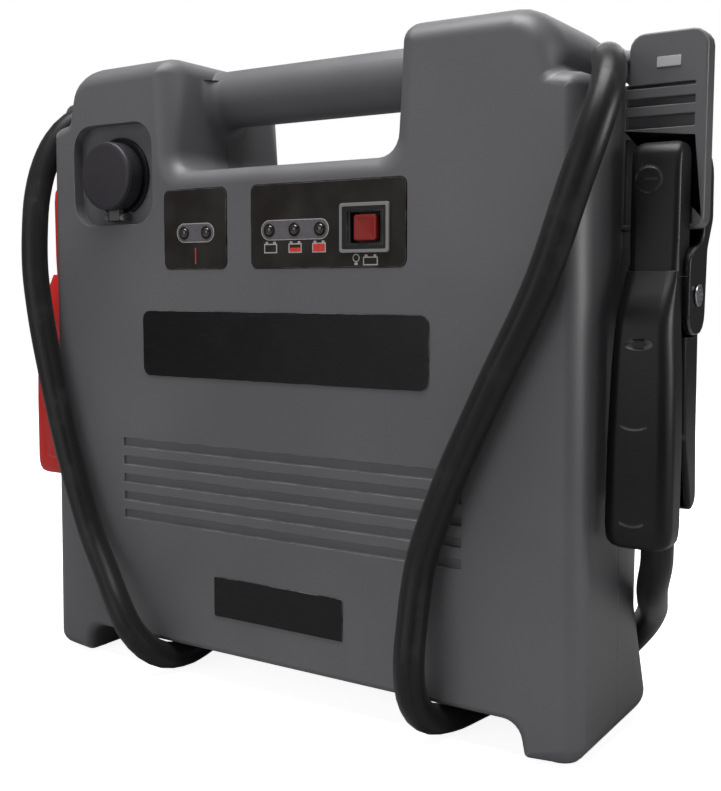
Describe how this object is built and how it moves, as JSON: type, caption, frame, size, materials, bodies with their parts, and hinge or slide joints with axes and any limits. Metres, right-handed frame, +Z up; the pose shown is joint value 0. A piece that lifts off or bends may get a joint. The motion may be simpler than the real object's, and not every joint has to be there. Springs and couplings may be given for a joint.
{
  "type": "jump starter pack",
  "caption": "Portable car jump starter in an upright grey case with a top handle, status panel, capped power outlet and sprung battery clamps parked at the sides on thick wrapped cables.",
  "frame": {"origin": "on the floor under the foot pads, midway across the case, on the plane where the two shells meet", "axes": "+X to the right seen from the front, +Y to the back, +Z up"},
  "size_m": [0.406, 0.1487, 0.343],
  "materials": {
    "case_grey": "fine satin grain",
    "pad_rubber": "matte",
    "cable_rubber": "matte",
    "lead_red": "matte",
    "zinc_screw": "zinc plated",
    "panel_dark": "satin film",
    "plate_black": "smooth",
    "lamp_lens": "smoked",
    "board_green": "solder mask",
    "plate_pale": "smooth",
    "switch_grey": "satin",
    "switch_black": "satin",
    "switch_red": "smooth",
    "barrel_steel": "plated",
    "contact_brass": "bare",
    "cap_grey": "satin",
    "battery_black": "satin",
    "terminal_metal": "tinned",
    "foam_grey": "foam",
    "module_metal": "cast",
    "fuse_amber": "smooth",
    "clamp_black": "satin",
    "clamp_red": "satin",
    "jaw_copper": "copper plated",
    "spring_steel": "bare"
  },
  "bodies": {
    "case": {"front_shell": "case_grey", "rear_shell": "case_grey", "ear_right": "case_grey", "ear_left": "case_grey", "case_screws": "zinc_screw", "foot_pads": "pad_rubber", "charging_panel": "panel_dark", "battery_panel": "panel_dark", "charging_lamps": "lamp_lens", "battery_lamps": "lamp_lens", "lamp_board": "board_green", "front_plate": "plate_black", "lower_plate": "plate_black", "ear_plates": "plate_pale", "switch_bezel": "switch_grey", "switch_body": "switch_black", "socket_flange": "switch_black", "socket_barrel": "barrel_steel", "socket_contact": "contact_brass", "cap_hinge": "case_grey", "cap_hinge_pin": "barrel_steel", "battery": "battery_black", "battery_terminals": "terminal_metal", "terminal_bolts": "contact_brass", "lead_lugs": "contact_brass", "battery_pads": "foam_grey", "charger_module": "module_metal", "main_fuse": "fuse_amber", "charge_inlet": "switch_black", "inlet_pins": "contact_brass", "lead_right": "cable_rubber", "lead_left": "lead_red", "gland_right": "cable_rubber", "gland_left": "cable_rubber", "cable_right": "cable_rubber", "cable_left": "cable_rubber", "clamp_front_right": "clamp_black", "jaw_front_right": "jaw_copper", "pivot_pin_right": "barrel_steel", "spring_right": "spring_steel", "crimp_right": "jaw_copper", "clamp_front_left": "clamp_red", "jaw_front_left": "jaw_copper", "pivot_pin_left": "barrel_steel", "spring_left": "spring_steel", "crimp_left": "jaw_copper"},
    "lever_right": {"clamp_rear_right": "clamp_black", "jaw_rear_right": "jaw_copper"},
    "lever_left": {"clamp_rear_left": "clamp_red", "jaw_rear_left": "jaw_copper"},
    "outlet_cap": {"socket_cap": "cap_grey"},
    "test_button": {"switch_button": "switch_red"}
  },
  "joints": [
    {"name": "clamp_open_right", "type": "hinge", "parent": "case", "child": "lever_right", "pos_m": [0.186, 0.0025, 0.215], "axis": [-1, 0, 0], "range_deg": [0, 10], "stiffness_Nm_per_rad": 4, "springref_deg": -5.73},
    {"name": "clamp_open_left", "type": "hinge", "parent": "case", "child": "lever_left", "pos_m": [-0.186, 0.0025, 0.215], "axis": [-1, 0, 0], "range_deg": [0, 10], "stiffness_Nm_per_rad": 4, "springref_deg": -5.73},
    {"name": "cap_open", "type": "hinge", "parent": "case", "child": "outlet_cap", "pos_m": [-0.1129, -0.0465, 0.2574], "axis": [1, 0, 0], "range_deg": [0, 90]},
    {"name": "test_press", "type": "slide", "parent": "case", "child": "test_button", "axis": [0, 1, 0], "range_m": [0, 0.002], "stiffness_N_per_m": 1000}
  ]
}
